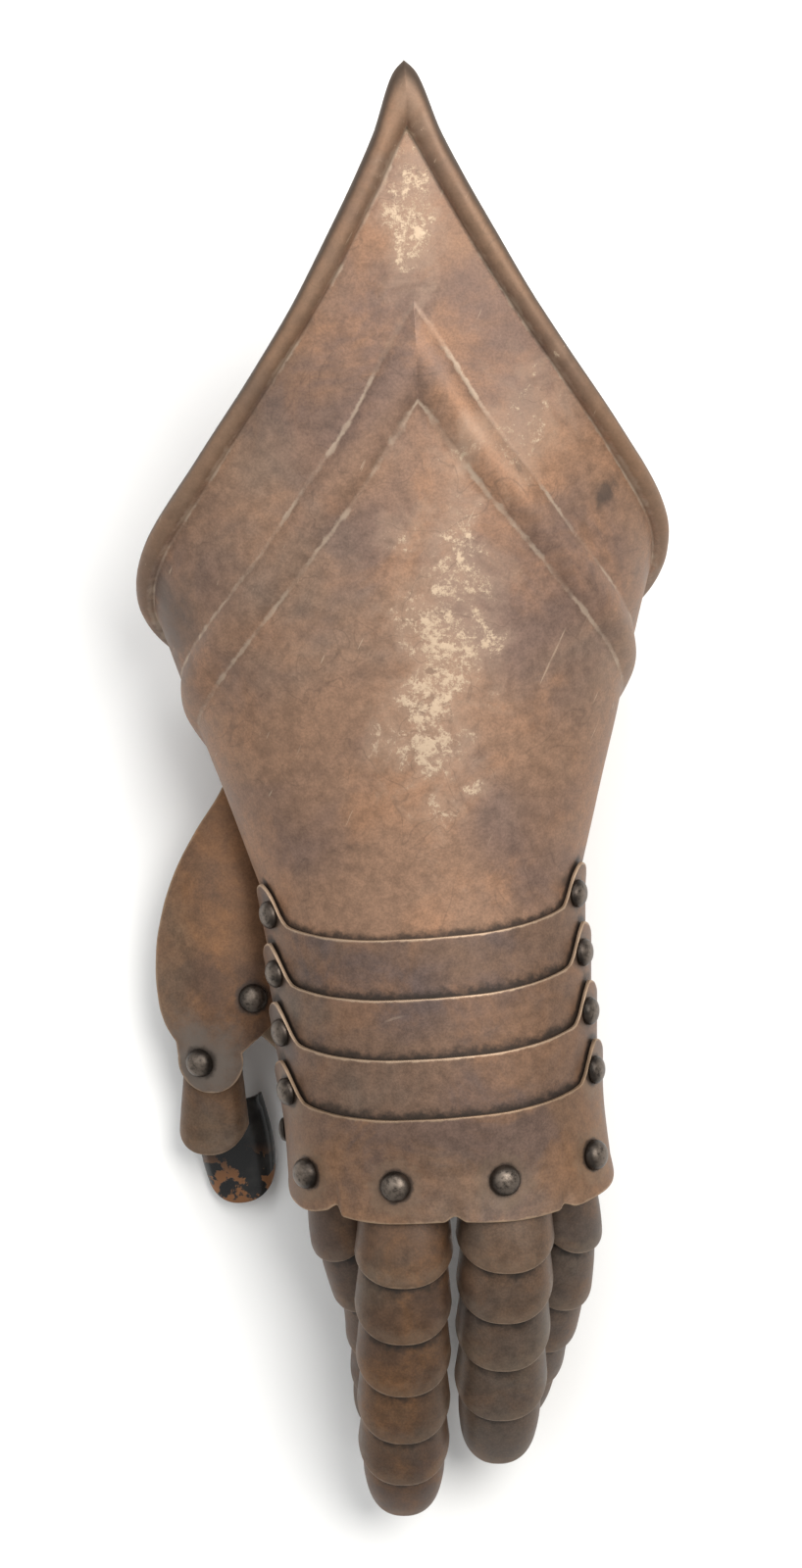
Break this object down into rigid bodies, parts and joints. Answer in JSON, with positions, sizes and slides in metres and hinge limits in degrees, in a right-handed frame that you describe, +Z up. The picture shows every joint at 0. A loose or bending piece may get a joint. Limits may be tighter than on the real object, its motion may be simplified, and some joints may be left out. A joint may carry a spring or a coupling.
{
  "type": "armoured gauntlet",
  "caption": "Left-hand armoured gauntlet of aged copper-toned sheet: pointed flared cuff, articulated wrist plates, knuckle plate, scaled fingers and riveted thumb.",
  "frame": {"origin": "middle of the object's footprint, on the ground it lies on", "axes": "+X towards the little finger's side, +Y up the arm to the cuff's peak, +Z up from the ground through the back of the hand"},
  "size_m": [0.162, 0.4184, 0.1193],
  "materials": {
    "aged_copper": "aged, satin, with worn pale patches",
    "rivet_iron": "dark satin",
    "strap_leather": "matt",
    "tip_enamel": "glossy black, worn"
  },
  "bodies": {
    "cuff_body": {"cuff": "aged_copper"},
    "lame_1_body": {"wrist_lame_1": "aged_copper", "wrist_rivet_1_thumb_side": "rivet_iron", "wrist_rivet_1_little_side": "rivet_iron"},
    "lame_2_body": {"wrist_lame_2": "aged_copper", "wrist_rivet_2_thumb_side": "rivet_iron", "wrist_rivet_2_little_side": "rivet_iron"},
    "lame_3_body": {"wrist_lame_3": "aged_copper", "wrist_rivet_3_thumb_side": "rivet_iron", "wrist_rivet_3_little_side": "rivet_iron"},
    "thumb_leaf_body": {"thumb_leaf": "aged_copper", "thumb_rivet_leaf": "rivet_iron"},
    "thumb_scale_body": {"thumb_scale": "aged_copper", "thumb_rivet_lobe": "rivet_iron", "thumb_tip": "tip_enamel"},
    "hand_body": {"knuckle_plate": "aged_copper", "wrist_rivet_4_thumb_side": "rivet_iron", "wrist_rivet_4_little_side": "rivet_iron", "index_scale_1": "aged_copper", "index_scale_2": "aged_copper", "index_scale_3": "aged_copper", "index_scale_4": "aged_copper", "index_scale_5": "aged_copper", "index_scale_6": "aged_copper", "index_strap": "strap_leather", "knuckle_rivet_index": "rivet_iron", "middle_scale_1": "aged_copper", "middle_scale_2": "aged_copper", "middle_scale_3": "aged_copper", "middle_scale_4": "aged_copper", "middle_scale_5": "aged_copper", "middle_scale_6": "aged_copper", "middle_strap": "strap_leather", "knuckle_rivet_middle": "rivet_iron", "ring_scale_1": "aged_copper", "ring_scale_2": "aged_copper", "ring_scale_3": "aged_copper", "ring_scale_4": "aged_copper", "ring_scale_5": "aged_copper", "ring_strap": "strap_leather", "knuckle_rivet_ring": "rivet_iron", "little_scale_1": "aged_copper", "little_scale_2": "aged_copper", "little_scale_3": "aged_copper", "little_scale_4": "aged_copper", "little_scale_5": "aged_copper", "little_strap": "strap_leather", "knuckle_rivet_little": "rivet_iron", "thumb_hanger": "aged_copper", "thumb_rivet_hanger": "rivet_iron"}
  },
  "joints": [
    {"name": "wrist_hinge_1", "type": "hinge", "parent": "cuff_body", "child": "lame_1_body", "pos_m": [0, -0.02335, 0.05945], "axis": [-1, 0, 0], "range_deg": [0, 6]},
    {"name": "wrist_hinge_2", "type": "hinge", "parent": "lame_1_body", "child": "lame_2_body", "pos_m": [0, -0.04055, 0.05945], "axis": [-1, 0, 0], "range_deg": [0, 6]},
    {"name": "wrist_hinge_3", "type": "hinge", "parent": "lame_2_body", "child": "lame_3_body", "pos_m": [0, -0.05775, 0.05945], "axis": [-1, 0, 0], "range_deg": [0, 6]},
    {"name": "wrist_hinge_4", "type": "hinge", "parent": "lame_3_body", "child": "hand_body", "pos_m": [0, -0.07495, 0.05945], "axis": [-1, 0, 0], "range_deg": [0, 6]},
    {"name": "thumb_leaf_swing", "type": "hinge", "parent": "hand_body", "child": "thumb_leaf_body", "pos_m": [-0.05133, -0.04905, 0.03265], "axis": [0.1618, -0.0312, 0.9863], "range_deg": [0, 8]},
    {"name": "thumb_scale_swing", "type": "hinge", "parent": "thumb_leaf_body", "child": "thumb_scale_body", "pos_m": [-0.06873, -0.06775, 0.02556], "axis": [-0.4593, -0.209, 0.8633], "range_deg": [-3, 3]}
  ]
}
